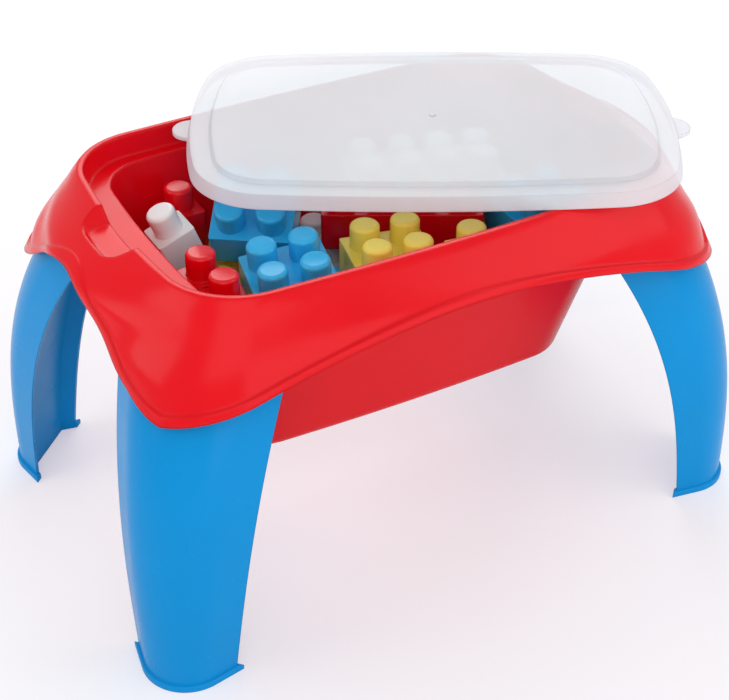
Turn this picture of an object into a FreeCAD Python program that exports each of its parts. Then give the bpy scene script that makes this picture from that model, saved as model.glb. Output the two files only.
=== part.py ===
"""Children's building block table: a moulded tub top on four push-in legs, a loose lid, and big blocks.

Millimetres. The origin is on the floor under the middle of the table, +X runs along the
table's length, +Y across it and +Z up.
"""
import FreeCAD, Part
import os
from math import atan2, cos, pi, radians, sin, sqrt, tan

V = FreeCAD.Vector

# Tub top: one thin moulding with a rim, a flared skirt, a ledge for the lid and a deep tub
# Each outline has its half length, half width, the middle of its corner arc and that arc's radius
WALL = 3.0
RIM_Z = 295.0
OPEN_X, OPEN_Y, OPEN_CENTRE, OPEN_CORNER = 205.0, 132.0, (145.0, 73.0), 56.0
RECESS_DRAFT = 3.0
LEDGE_Z = 277.5
LEDGE_X, LEDGE_Y, LEDGE_CENTRE, LEDGE_CORNER = 183.0, 118.5, (140.0, 76.0), 40.0
FLOOR_Z = 116.5
FLOOR_X, FLOOR_Y, FLOOR_CENTRE, FLOOR_CORNER = 156.0, 74.0, (113.0, 31.5), 40.0
FLOOR_FILLET = 6.0

# Skirt: depths below the rim, with the outsets there of the short sides, long sides and corners
SKIRT = [(0.0, 4.0, 4.0, 4.0), (4.0, 13.0, 9.0, 6.0), (12.0, 28.0, 16.0, 8.5), (21.0, 41.5, 24.0, 11.5),
         (34.0, 45.0, 32.5, 16.5), (57.0, 47.5, 35.0, 21.8), (82.0, 51.0, 40.0, 24.5)]
SKIRT_CENTRE = (174.0, 87.0)
SKIRT_LOW_Z = 214.5
LONG_ARCH, LONG_POWER, LONG_SPAN = 47.0, 0.65, 254.0
SHORT_ARCH, SHORT_POWER, SHORT_SPAN = 60.0, 1.4, 172.0
LIP_HEIGHT, LIP_OUT = 6.0, 2.4

# Finger scoops in the short sides of the rim
SCOOP_FLOOR_Z = 283.0
SCOOP_OUT = 18.0
SCOOP_HALF_WIDTH = 25.0
SCOOP_FLARE = 13.0

# Legs: bowed shells of rounded section at the four corners, closed by a web on the inside
LEG_APEX = 296.4
LEG_OFFSET = 65.0
LEG_BOW, LEG_BOW_Z, LEG_BOW_POWER = 44.0, 220.0, 2.8
LEG_RADIUS, LEG_DEPTH = 33.0, 31.0
LEG_GROWTH, LEG_TOP_Z = 0.68, 256.0
LEG_SPLAY = 35.0
LEG_WALL = 3.2
WEB_RECESS = 9.0
FOOT_HEIGHT, FOOT_OUT = 5.0, 2.6
TENON_INSET, TENON_BACK, TENON_HEIGHT = 12.0, 1.0, 13.0
FIT = 0.4

# Lid: a shallow tray turned askew and resting on the rim
LID_X, LID_Y, LID_CENTRE, LID_CORNER = 193.0, 127.5, (127.0, 62.5), 60.0
LID_HEIGHT, LID_WALL, LID_DRAFT = 14.0, 2.2, 3.0
LID_BORDER, LID_STEP = 17.0, 3.0
TAB_RADIUS, TAB_OUT, TAB_THICK = 15.5, 12.0, 3.0
LID_AT, LID_YAW = (67.0, 17.0), -28.2
LID_REST = 0.4

# Blocks on a common grid, with tall round studs
PITCH, BLOCK_GAP = 32.0, 0.4
BLOCK_HEIGHT, BLOCK_WALL = 30.5, 2.4
STUD_RADIUS, STUD_HEIGHT, STUD_ROUND = 11.4, 19.5, 3.2
LAYER = BLOCK_HEIGHT + STUD_HEIGHT + 0.4


def bowed_ring(half_x, half_y, centre, corner, z, middle=(0.0, 0.0)):
    """Closed outline of four bowed sides that run smoothly into corner arcs about plus and minus centre."""
    def side_radius(along, across, half):
        return (along ** 2 + (half - across) ** 2 - corner ** 2) / (2 * (half - across - corner))

    side = (0.0, half_y - side_radius(centre[0], centre[1], half_y))
    end = (half_x - side_radius(centre[1], centre[0], half_x), 0.0)
    from_side = atan2(centre[1] - side[1], centre[0] - side[0])
    from_end = atan2(centre[1] - end[1], centre[0] - end[0])
    turn = (from_side + from_end) / 2
    p_side = (centre[0] + corner * cos(from_side), centre[1] + corner * sin(from_side))
    p_mid = (centre[0] + corner * cos(turn), centre[1] + corner * sin(turn))
    p_end = (centre[0] + corner * cos(from_end), centre[1] + corner * sin(from_end))

    def at(point, sx, sy):
        return V(middle[0] + sx * point[0], middle[1] + sy * point[1], z)

    top, tip = (0.0, half_y), (half_x, 0.0)
    arcs = [(at(p_side, -1, 1), at(top, 1, 1), at(p_side, 1, 1)),
            (at(p_side, 1, 1), at(p_mid, 1, 1), at(p_end, 1, 1)),
            (at(p_end, 1, 1), at(tip, 1, 1), at(p_end, 1, -1)),
            (at(p_end, 1, -1), at(p_mid, 1, -1), at(p_side, 1, -1)),
            (at(p_side, 1, -1), at(top, 1, -1), at(p_side, -1, -1)),
            (at(p_side, -1, -1), at(p_mid, -1, -1), at(p_end, -1, -1)),
            (at(p_end, -1, -1), at(tip, -1, 1), at(p_end, -1, 1)),
            (at(p_end, -1, 1), at(p_mid, -1, 1), at(p_side, -1, 1))]
    return Part.Wire([Part.Arc(*arc).toShape() for arc in arcs])


def loft(wires, ruled=False):
    return Part.makeLoft(wires, True, ruled)


def edges_at_height(shape, z):
    found = []
    for edge in shape.Edges:
        box = edge.BoundBox
        if abs(box.ZMin - z) < 0.01 and abs(box.ZMax - z) < 0.01:
            found.append(edge)
    return found


def skirt_solid(outset, drop):
    """The skirt's outer form, grown by outset and lowered by drop."""
    wires = []
    deepest = SKIRT[-1][0]
    for depth, out_x, out_y, out_corner in SKIRT:
        share = depth / deepest
        centre = tuple(start + share * (finish - start) for start, finish in zip(OPEN_CENTRE, SKIRT_CENTRE))
        wires.append(bowed_ring(OPEN_X + out_x + outset, OPEN_Y + out_y + outset, centre,
                                OPEN_CORNER + out_corner + outset, RIM_Z - depth - drop))
    return loft(wires)


def arch_prism(half_span, rise, power, half_depth, along_x):
    """Everything below an arched lower edge, as a prism through the whole table."""
    reach = half_span + 30.0
    steps = 12
    points = []
    for i in range(-steps, steps + 1):
        across = reach * i / steps
        bell = 0.5 + 0.5 * cos(pi * min(1.0, abs(across) / half_span))
        z = SKIRT_LOW_Z + rise * bell ** power
        points.append(V(across, -half_depth, z))
    curve = Part.BSplineCurve()
    curve.interpolate(points)
    low = SKIRT_LOW_Z - 60.0
    base = Part.makePolygon([points[-1], V(reach, -half_depth, low), V(-reach, -half_depth, low), points[0]])
    face = Part.Face(Part.Wire([curve.toShape()] + base.Edges))
    prism = face.extrude(V(0, 2 * half_depth, 0))
    if along_x:
        prism.rotate(V(0, 0, 0), V(0, 0, 1), 90)
    return prism


def scoop_solid(side, grow):
    """A finger scoop's hollow at one short side, grown by grow."""
    inner = LEDGE_X + 5.0
    wires = []
    for z, outer, half_width in ((SCOOP_FLOOR_Z, OPEN_X + SCOOP_OUT, SCOOP_HALF_WIDTH),
                                 (RIM_Z + 4.0, OPEN_X + SCOOP_OUT + SCOOP_FLARE, SCOOP_HALF_WIDTH + SCOOP_FLARE)):
        half, corner = (outer - inner) / 2, 13.0
        centre = (half - corner - 0.3, half_width - corner - 0.3)
        wires.append(bowed_ring(half + grow, half_width + grow, centre, corner + grow, z - grow,
                                (side * (outer + inner) / 2, 0.0)))
    return loft(wires, True)


def leg_scale(z):
    return 1.0 + LEG_GROWTH * min(z, LEG_TOP_Z) / LEG_TOP_Z


def web_recess(z):
    return WEB_RECESS * leg_scale(z)


def leg_apex(z):
    return LEG_APEX - LEG_BOW * (max(z, 0.0) / LEG_BOW_Z) ** LEG_BOW_POWER


def leg_ring(form_z, z, inset, chord):
    """Leg section of the form at form_z, drawn at z: a round nose, two splayed flanges and a chord.

    inset shrinks the outline, and chord is the chord's distance in from the flange tips.
    """
    scale = leg_scale(form_z)
    radius, depth, apex = LEG_RADIUS * scale, LEG_DEPTH * scale, leg_apex(form_z)
    splay = radians(LEG_SPLAY)
    centre = apex - radius
    nose = radius - inset
    touch_u, touch_v = centre + nose * sin(splay), nose * cos(splay)
    tip_u = apex - depth + chord
    tip_v = touch_v + (touch_u - tip_u) * tan(splay)
    nose_arc = Part.Arc(leg_point(touch_u, touch_v, z), leg_point(centre + nose, 0, z),
                        leg_point(touch_u, -touch_v, z))
    rest = [leg_point(touch_u, -touch_v, z), leg_point(tip_u, -tip_v, z),
            leg_point(tip_u, tip_v, z), leg_point(touch_u, touch_v, z)]
    return Part.Wire([nose_arc.toShape()] + Part.makePolygon(rest).Edges)


def leg_point(outward, across, z):
    """A point of the leg at the +X +Y corner, from its place along and across the corner's diagonal."""
    across = across - LEG_OFFSET
    return V((outward - across) / sqrt(2), (outward + across) / sqrt(2), z)


def recess_ring(form_z, z):
    """The open channel between the flange tips, in front of the leg's inner web."""
    scale = leg_scale(form_z)
    radius, depth, apex = LEG_RADIUS * scale, LEG_DEPTH * scale, leg_apex(form_z)
    splay = radians(LEG_SPLAY)
    nose = radius - LEG_WALL
    touch_u, touch_v = apex - radius + nose * sin(splay), nose * cos(splay)
    near_u, far_u = apex - depth - 8.0, apex - depth + web_recess(form_z)
    near_v = touch_v + (touch_u - near_u) * tan(splay)
    far_v = touch_v + (touch_u - far_u) * tan(splay)
    return Part.makePolygon([leg_point(near_u, -near_v, z), leg_point(far_u, -far_v, z),
                             leg_point(far_u, far_v, z), leg_point(near_u, near_v, z),
                             leg_point(near_u, -near_v, z)])


LEG_HEIGHTS = [LEG_TOP_Z * step / 5 for step in range(6)]


def make_leg():
    body = loft([leg_ring(z, z, 0.0, 0.0) for z in LEG_HEIGHTS])
    foot_low = leg_ring(0.0, 0.0, -FOOT_OUT, -FOOT_OUT)
    foot = Part.Face(foot_low).extrude(V(0, 0, FOOT_HEIGHT))
    foot = foot.makeFillet(1.6, edges_at_height(foot, FOOT_HEIGHT))
    body = body.fuse(foot)
    inner_heights = [z for z in LEG_HEIGHTS[:-1]] + [LEG_TOP_Z - LEG_WALL]
    hollow = loft([leg_ring(z, z, LEG_WALL, web_recess(z) + LEG_WALL) for z in inner_heights])
    below = Part.Face(leg_ring(0.0, -1.0, LEG_WALL, WEB_RECESS + LEG_WALL)).extrude(V(0, 0, 1.5))
    channel = loft([recess_ring(z, z) for z in LEG_HEIGHTS[:-1]] + [recess_ring(LEG_TOP_Z, LEG_TOP_Z + 0.5)])
    foot_channel = Part.Face(recess_ring(0.0, -1.0)).extrude(V(0, 0, 1.5))
    body = body.cut(hollow.fuse(below)).cut(channel.fuse(foot_channel))
    back = web_recess(LEG_TOP_Z) + TENON_BACK
    tenon = Part.Face(leg_ring(LEG_TOP_Z, LEG_TOP_Z - 0.5, TENON_INSET, back))
    tenon = tenon.extrude(V(0, 0, TENON_HEIGHT + 0.5))
    bore = Part.Face(leg_ring(LEG_TOP_Z, LEG_TOP_Z, TENON_INSET + LEG_WALL, back + LEG_WALL))
    bore = bore.extrude(V(0, 0, TENON_HEIGHT + 1.0))
    return body.fuse(tenon.cut(bore)).removeSplitter()


def make_socket(under_skin):
    """Two shapes for the leg socket at the +X +Y corner: its wall and the hole in it."""
    inset, chord = TENON_INSET - FIT, web_recess(LEG_TOP_Z) + TENON_BACK - FIT
    low = LEG_TOP_Z + FIT
    wall = Part.Face(leg_ring(LEG_TOP_Z, low, inset - LEG_WALL, chord - LEG_WALL))
    wall = wall.extrude(V(0, 0, RIM_Z - low)).common(under_skin)
    hole = Part.Face(leg_ring(LEG_TOP_Z, low - 1.0, inset, chord))
    hole = hole.extrude(V(0, 0, TENON_HEIGHT + 1.0 + 2 * FIT))
    return wall, hole


def at_corners(shape):
    """The shape from the +X +Y corner, mirrored to all four corners."""
    copies = [shape]
    copies.append(shape.mirror(V(0, 0, 0), V(1, 0, 0)))
    copies.append(shape.mirror(V(0, 0, 0), V(0, 1, 0)))
    copies.append(copies[1].mirror(V(0, 0, 0), V(0, 1, 0)))
    return copies


def make_top():
    outer = skirt_solid(0.0, 0.0)
    under_skin = skirt_solid(-WALL, WALL)
    arches = arch_prism(LONG_SPAN, LONG_ARCH, LONG_POWER, 220.0, False).fuse(
        arch_prism(SHORT_SPAN, SHORT_ARCH, SHORT_POWER, 320.0, True))
    lip_zone = arches.copy()
    lip_zone.translate(V(0, 0, LIP_HEIGHT))
    lip = skirt_solid(LIP_OUT, 0.0).common(lip_zone)
    skirt = outer.fuse(lip).cut(under_skin).cut(arches)

    def tub(grow):
        recess = loft([bowed_ring(OPEN_X + grow, OPEN_Y + grow, OPEN_CENTRE, OPEN_CORNER + grow, RIM_Z + 2.0 - grow),
                       bowed_ring(OPEN_X - RECESS_DRAFT + grow, OPEN_Y - RECESS_DRAFT + grow, OPEN_CENTRE,
                                  OPEN_CORNER - RECESS_DRAFT + grow, LEDGE_Z - grow)], True)
        well = loft([bowed_ring(LEDGE_X + grow, LEDGE_Y + grow, LEDGE_CENTRE, LEDGE_CORNER + grow, LEDGE_Z + 1.0),
                     bowed_ring(FLOOR_X + grow, FLOOR_Y + grow, FLOOR_CENTRE, FLOOR_CORNER + grow, FLOOR_Z - grow)],
                    True)
        well = well.makeFillet(FLOOR_FILLET + grow, edges_at_height(well, FLOOR_Z - grow))
        return recess.fuse(well)

    shell = tub(WALL)
    for side in (-1, 1):
        shell = shell.fuse(scoop_solid(side, WALL).common(outer))
    sockets = [make_socket(under_skin)]
    walls = at_corners(sockets[0][0])
    holes = at_corners(sockets[0][1])
    top = skirt.fuse(shell.common(Part.makeBox(800, 800, RIM_Z, V(-400, -400, 0)))).fuse(walls)
    top = top.cut(tub(0.0))
    for side in (-1, 1):
        top = top.cut(scoop_solid(side, 0.0))
    for hole in holes:
        top = top.cut(hole)
    return top


def make_lid():
    """The lid lying flat with its lower edge at z = 0, before it is turned and set down."""
    def ring(inset, z):
        return bowed_ring(LID_X - inset, LID_Y - inset, LID_CENTRE, LID_CORNER - inset, z)

    def tray(inset, low, high):
        edge = loft([ring(inset, low), ring(inset + LID_DRAFT, high)], True)
        panel = inset + LID_BORDER
        step = loft([ring(panel, high - 1.0), ring(panel + LID_STEP, high + LID_STEP)], True)
        return edge.fuse(step)

    shoulder = LID_HEIGHT - LID_STEP
    lid = tray(0.0, 0.0, shoulder)
    for side in (-1, 1):
        tab = Part.makeCylinder(TAB_RADIUS, TAB_THICK, V(side * (LID_X + TAB_OUT - TAB_RADIUS), 0, 0))
        lid = lid.fuse(tab)
    lid = lid.cut(tray(LID_WALL, -1.0, shoulder - LID_WALL)).removeSplitter()
    gate = Part.makeCylinder(2.6, 1.0, V(0, 0, LID_HEIGHT - 0.4))
    return lid.fuse(gate)


def make_block(columns, rows):
    """A hollow block of columns by rows studs, standing on z = 0 over the origin."""
    size_x, size_y = columns * PITCH - BLOCK_GAP, rows * PITCH - BLOCK_GAP
    body = Part.makeBox(size_x, size_y, BLOCK_HEIGHT, V(-size_x / 2, -size_y / 2, 0))
    upright = [edge for edge in body.Edges if edge.BoundBox.ZLength > BLOCK_HEIGHT - 1]
    body = body.makeFillet(2.0, upright)
    stud_profile = [V(0, 0, -1), V(STUD_RADIUS, 0, -1), V(STUD_RADIUS, 0, STUD_HEIGHT - STUD_ROUND),
                    V(STUD_RADIUS - STUD_ROUND, 0, STUD_HEIGHT), V(0, 0, STUD_HEIGHT)]
    shoulder = Part.Arc(stud_profile[2], V(STUD_RADIUS - STUD_ROUND * (1 - cos(radians(45))), 0,
                        STUD_HEIGHT - STUD_ROUND * (1 - sin(radians(45)))), stud_profile[3])
    outline = [Part.makeLine(stud_profile[0], stud_profile[1]), Part.makeLine(stud_profile[1], stud_profile[2]),
               shoulder.toShape(), Part.makeLine(stud_profile[3], stud_profile[4]),
               Part.makeLine(stud_profile[4], stud_profile[0])]
    stud = Part.Face(Part.Wire(outline)).revolve(V(0, 0, 0), V(0, 0, 1), 360)
    studs = []
    for column in range(columns):
        for row in range(rows):
            copy = stud.copy()
            copy.translate(V((column - (columns - 1) / 2) * PITCH, (row - (rows - 1) / 2) * PITCH, BLOCK_HEIGHT))
            studs.append(copy)
    hollow = Part.makeBox(size_x - 2 * BLOCK_WALL, size_y - 2 * BLOCK_WALL, BLOCK_HEIGHT - BLOCK_WALL,
                          V(-size_x / 2 + BLOCK_WALL, -size_y / 2 + BLOCK_WALL, 0))
    return body.fuse(studs).cut(hollow).removeSplitter()


# Blocks in the tub: columns, rows, place of the middle of the base, then yaw, pitch and roll in degrees
LEVEL = [FLOOR_Z + 0.1 + LAYER * level for level in range(3)]
BLOCKS = {
    "block_base_red": (4, 2, (-65, 32.5, LEVEL[0]), (0, 0, 0)),
    "block_base_blue": (4, 2, (65, 32.5, LEVEL[0]), (0, 0, 0)),
    "block_base_yellow": (4, 2, (-65, -32.5, LEVEL[0]), (0, 0, 0)),
    "block_base_white": (4, 2, (65, -32.5, LEVEL[0]), (0, 0, 0)),
    "block_middle_blue": (4, 2, (-84, -39, LEVEL[1]), (0, 0, 0)),
    "block_middle_yellow": (4, 2, (67, 38, LEVEL[1]), (0, 0, 0)),
    "block_middle_red": (4, 2, (67, -38, LEVEL[1]), (0, 0, 0)),
    "block_middle_white": (2, 2, (-33, 45, LEVEL[1]), (0, 0, 0)),
    "block_left_yellow": (2, 2, (-108, 44, LEVEL[1]), (20, 0, 0)),
    "block_near_red": (1, 1, (-149, -54, LEVEL[2]), (-10, 0, 0)),
    "block_left_red": (1, 1, (-151, -18, LEVEL[2]), (8, 0, 0)),
    "block_near_blue": (2, 2, (-93, -52, LEVEL[2] + 5), (-12, -5, 5)),
    "block_front_yellow": (2, 2, (-14, -60, LEVEL[2]), (-12, 0, 0)),
    "block_small_yellow": (1, 1, (43, -82, LEVEL[2]), (-8, 0, 0)),
    "block_long_red": (4, 1, (29, -2, LEVEL[2]), (-28.7, 0, 0)),
    "block_back_white": (4, 2, (76, 44, LEVEL[2]), (-18, 0, 0)),
    "block_right_blue": (2, 2, (126, -55, LEVEL[2]), (0, 0, 0)),
    "block_tilted_white": (1, 1, (-139, 46, LEVEL[2] + 6), (0, -20, 0)),
    "block_far_red": (1, 1, (-126, 80, LEVEL[2]), (0, 0, 0)),
    "block_tilted_blue": (2, 2, (-76, 42, LEVEL[2] + 16), (-35, 0, 25)),
}


def place(shape, spot, turn):
    shape.Placement = FreeCAD.Placement(V(*spot), FreeCAD.Rotation(*turn))
    return shape


def make_parts():
    parts = {"tub_top": make_top()}
    names = ["leg_back_right", "leg_back_left", "leg_front_right", "leg_front_left"]
    for name, leg in zip(names, at_corners(make_leg())):
        parts[name] = leg
    parts["lid"] = place(make_lid(), (*LID_AT, RIM_Z + LID_REST), (LID_YAW, 0, 0))
    for name, (columns, rows, spot, turn) in BLOCKS.items():
        parts[name] = place(make_block(columns, rows), spot, turn)
    return parts


os.makedirs("parts", exist_ok=True)
for name, shape in make_parts().items():
    print(name, len(shape.Solids), shape.isValid(), round(shape.Volume / 1000, 1))
    shape.exportStep(f"parts/{name}.step")
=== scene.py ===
"""Looks of the building block table: moulded plastic finishes, the milky lid, floor, light and camera."""
import bpy
from math import cos, radians, sin
from mathutils import Matrix, Vector

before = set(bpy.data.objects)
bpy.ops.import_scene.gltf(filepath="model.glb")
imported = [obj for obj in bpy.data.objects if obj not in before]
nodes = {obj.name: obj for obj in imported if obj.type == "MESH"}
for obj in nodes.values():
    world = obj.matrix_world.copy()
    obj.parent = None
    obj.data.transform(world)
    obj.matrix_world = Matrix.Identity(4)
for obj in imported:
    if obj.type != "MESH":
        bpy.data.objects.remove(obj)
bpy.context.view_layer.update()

# Colours, linear
RED = (0.78, 0.0015, 0.008)
BLUE = (0.002, 0.275, 0.66)
BLOCK_BLUE = (0.025, 0.46, 0.85)
YELLOW = (0.96, 0.77, 0.12)
WHITE = (0.86, 0.87, 0.87)
MILKY = (0.90, 0.938, 0.968)

FLOOR_BOUNCE = (0.88, 0.88, 0.89)
FLOOR_SEEN = (0.55, 0.56, 0.55)
FLOOR_GLOW = (0.43, 0.418, 0.455)

# Plastic finishes: noise scales, and lengths in metres
FLOW_SCALE, GLOSS_SCALE, SKIN_SCALE = 9.0, 38.0, 70.0
HAZE_SCALE, CLOUD_SCALE = 14.0, 6.0
NOISE_LOW, NOISE_HIGH = 0.3, 0.7
SKIN_RELIEF = 0.0006
EDGE_SAMPLES = 8
TOP_EDGE, PLAIN_EDGE, LID_EDGE = 0.004, 0.0016, 0.0014
LID_GLOW_SHARE, LID_CLEAR_SHARE = 0.2, 0.4
LID_CLEAR_TINT = (0.95, 0.98, 1.0)

# Floor and studio light: each lamp's place, aim, size in metres and power in watts
FLOOR_SIZE = 12.0
WORLD_LEVEL = 0.64
LAMPS = {
    "back_soft": ((0.9, 1.7, 1.5), (0, 0, 0.25), 1.6, 22),
    "left_key": ((-1.8, 0.3, 1.0), (0, 0, 0.25), 1.2, 8),
    "near_fill": ((-0.8, -1.5, 1.55), (0, 0, 0.25), 1.4, 7),
    "front_fill": ((0.3, -1.9, 0.4), (0, 0, 0.2), 1.4, 7),
    "right_fill": ((1.5, -1.4, 1.3), (0, 0, 0.2), 1.4, 8),
}

# Camera, from the photograph's view: picture sizes in pixels, place in metres, angles in degrees
PHOTO_WIDTH, PHOTO_HEIGHT = 729, 700
FOCAL_PIXELS = 1571.11
CENTRE_X, CENTRE_Y = 373.82, 344.48
CAMERA_AT = (-0.5225, -0.9324, 0.8698)
CAMERA_AZIMUTH, CAMERA_ELEVATION, CAMERA_ROLL = -29.52, 34.97, 0.31


def new_material(name):
    material = bpy.data.materials.new(name)
    material.use_nodes = True
    tree = material.node_tree
    return material, tree, tree.nodes["Principled BSDF"]


def link(tree, source, output, target, socket):
    tree.links.new(source.outputs[output], target.inputs[socket])


def noise(tree, scale, detail=2.0):
    place = tree.nodes.new("ShaderNodeTexCoord")
    texture = tree.nodes.new("ShaderNodeTexNoise")
    texture.inputs["Scale"].default_value = scale
    texture.inputs["Detail"].default_value = detail
    link(tree, place, "Object", texture, "Vector")
    return texture


def remap(tree, source, low, high):
    """The texture's grey value, spread over low to high."""
    node = tree.nodes.new("ShaderNodeMapRange")
    node.inputs["From Min"].default_value = NOISE_LOW
    node.inputs["From Max"].default_value = NOISE_HIGH
    node.inputs["To Min"].default_value = low
    node.inputs["To Max"].default_value = high
    link(tree, source, "Fac", node, "Value")
    return node


def drifting_colour(tree, colour, scale, dark, light):
    """The colour, drifting slowly between dark and light times its strength."""
    ramp = tree.nodes.new("ShaderNodeValToRGB")
    ends = ((NOISE_LOW, dark), (NOISE_HIGH, light))
    for element, (position, strength) in zip(ramp.color_ramp.elements, ends):
        element.position = position
        element.color = (*(min(1.0, strength * part) for part in colour), 1)
    link(tree, noise(tree, scale), "Fac", ramp, "Fac")
    return ramp


def rounded_skin(tree, shader, radius, depth):
    """Normals with moulded round edges and a fine sunk skin."""
    edge = tree.nodes.new("ShaderNodeBevel")
    edge.samples = EDGE_SAMPLES
    edge.inputs["Radius"].default_value = radius
    bump = tree.nodes.new("ShaderNodeBump")
    bump.inputs["Strength"].default_value = depth
    bump.inputs["Distance"].default_value = SKIN_RELIEF
    link(tree, noise(tree, SKIN_SCALE, 3.0), "Fac", bump, "Height")
    link(tree, edge, "Normal", bump, "Normal")
    link(tree, bump, "Normal", shader, "Normal")


def moulded_plastic(name, colour, roughness, shine, radius=PLAIN_EDGE):
    """Glossy moulded plastic: slow drifts of colour from the melt's flow, uneven gloss and round edges."""
    material, tree, shader = new_material(name)
    tint = drifting_colour(tree, colour, FLOW_SCALE, 0.96, 1.03)
    link(tree, tint, "Color", shader, "Base Color")
    gloss = remap(tree, noise(tree, GLOSS_SCALE), roughness - 0.03, roughness + 0.04)
    link(tree, gloss, "Result", shader, "Roughness")
    rounded_skin(tree, shader, radius, 0.04)
    shader.inputs["Specular IOR Level"].default_value = shine
    return material


def milky_plastic(name, colour):
    """Milky thin plastic: most light scatters in it, and a share of what lies behind shows through."""
    material, tree, shader = new_material(name)
    haze = remap(tree, noise(tree, HAZE_SCALE), 0.36, 0.44)
    link(tree, haze, "Result", shader, "Roughness")
    tint = drifting_colour(tree, colour, CLOUD_SCALE, 0.985, 1.01)
    link(tree, tint, "Color", shader, "Base Color")
    rounded_skin(tree, shader, LID_EDGE, 0.02)
    glow = tree.nodes.new("ShaderNodeBsdfTranslucent")
    link(tree, tint, "Color", glow, "Color")
    milk = tree.nodes.new("ShaderNodeMixShader")
    milk.inputs["Fac"].default_value = LID_GLOW_SHARE
    link(tree, shader, "BSDF", milk, 1)
    link(tree, glow, "BSDF", milk, 2)
    clear = tree.nodes.new("ShaderNodeBsdfTransparent")
    clear.inputs["Color"].default_value = (*LID_CLEAR_TINT, 1)
    skin = tree.nodes.new("ShaderNodeMixShader")
    skin.inputs["Fac"].default_value = LID_CLEAR_SHARE
    link(tree, milk, "Shader", skin, 1)
    link(tree, clear, "BSDF", skin, 2)
    link(tree, skin, "Shader", tree.nodes["Material Output"], "Surface")
    return material


def dress_nodes():
    """A plastic for every node, the blocks by the colour that ends their names."""
    red = moulded_plastic("red_moulding", RED, 0.22, 0.2, TOP_EDGE)
    blue = moulded_plastic("blue_leg", BLUE, 0.24, 0.12)
    lid = milky_plastic("milky_lid", MILKY)
    block_colours = {"red": RED, "blue": BLOCK_BLUE, "yellow": YELLOW, "white": WHITE}
    blocks = {}
    for word, colour in block_colours.items():
        blocks[word] = moulded_plastic(f"{word}_block", colour, 0.16, 0.4)
    for name, node in nodes.items():
        if name == "tub_top":
            material = red
        elif name.startswith("leg"):
            material = blue
        elif name == "lid":
            material = lid
        else:
            material = blocks[name.split("_")[-1]]
        node.data.materials.clear()
        node.data.materials.append(material)


def add_floor():
    """A pale floor that takes soft shadow and shows white to the camera where it is lit."""
    bpy.ops.mesh.primitive_plane_add(size=FLOOR_SIZE)
    floor = bpy.context.object
    floor.name = "floor"
    material, tree, shader = new_material("floor")
    path = tree.nodes.new("ShaderNodeLightPath")
    shade = tree.nodes.new("ShaderNodeMix")
    shade.data_type = "RGBA"
    # The mix node keeps a set of sockets for each data type: 6 and 7 in and 2 out are the colours
    shade.inputs[6].default_value = (*FLOOR_BOUNCE, 1)
    shade.inputs[7].default_value = (*FLOOR_SEEN, 1)
    link(tree, path, "Is Camera Ray", shade, 0)
    link(tree, shade, 2, shader, "Base Color")
    shader.inputs["Roughness"].default_value = 0.9
    shader.inputs["Specular IOR Level"].default_value = 0.0
    shader.inputs["Emission Color"].default_value = (*FLOOR_GLOW, 1)
    link(tree, path, "Is Camera Ray", shader, "Emission Strength")
    floor.data.materials.append(material)


def add_light(name, place, aim, size, power):
    data = bpy.data.lights.new(name, "AREA")
    data.size = size
    data.energy = power
    lamp = bpy.data.objects.new(name, data)
    lamp.location = place
    lamp.rotation_euler = (Vector(aim) - Vector(place)).to_track_quat("-Z", "Y").to_euler()
    bpy.context.collection.objects.link(lamp)


def add_world():
    """Even white light from all sides, seen by the camera as plain white."""
    world = bpy.data.worlds.new("studio")
    bpy.context.scene.world = world
    world.use_nodes = True
    tree = world.node_tree
    tree.nodes["Background"].inputs["Color"].default_value = (1, 1, 1, 1)
    path = tree.nodes.new("ShaderNodeLightPath")
    level = tree.nodes.new("ShaderNodeMapRange")
    level.inputs["To Min"].default_value = WORLD_LEVEL
    level.inputs["To Max"].default_value = 1.0
    link(tree, path, "Is Camera Ray", level, "Value")
    link(tree, level, "Result", tree.nodes["Background"], "Strength")


def add_camera():
    a, e, r = radians(CAMERA_AZIMUTH), radians(CAMERA_ELEVATION), radians(CAMERA_ROLL)
    back = Vector((sin(a) * cos(e), -cos(a) * cos(e), sin(e)))
    right = Vector((cos(a), sin(a), 0))
    up = back.cross(right)
    right, up = right * cos(r) + up * sin(r), up * cos(r) - right * sin(r)
    data = bpy.data.cameras.new("camera")
    data.sensor_width = 36.0
    data.lens = FOCAL_PIXELS * data.sensor_width / PHOTO_WIDTH
    data.shift_x = (PHOTO_WIDTH / 2 - CENTRE_X) / PHOTO_WIDTH
    data.shift_y = (CENTRE_Y - PHOTO_HEIGHT / 2) / PHOTO_WIDTH
    camera = bpy.data.objects.new("camera", data)
    turn = Matrix((right, up, back)).transposed().to_4x4()
    camera.matrix_world = Matrix.Translation(CAMERA_AT) @ turn
    bpy.context.collection.objects.link(camera)
    bpy.context.scene.camera = camera


dress_nodes()
add_floor()
add_world()
for lamp_name, (place, aim, size, power) in LAMPS.items():
    add_light(lamp_name, place, aim, size, power)
add_camera()
bpy.context.scene.view_settings.view_transform = "Standard"
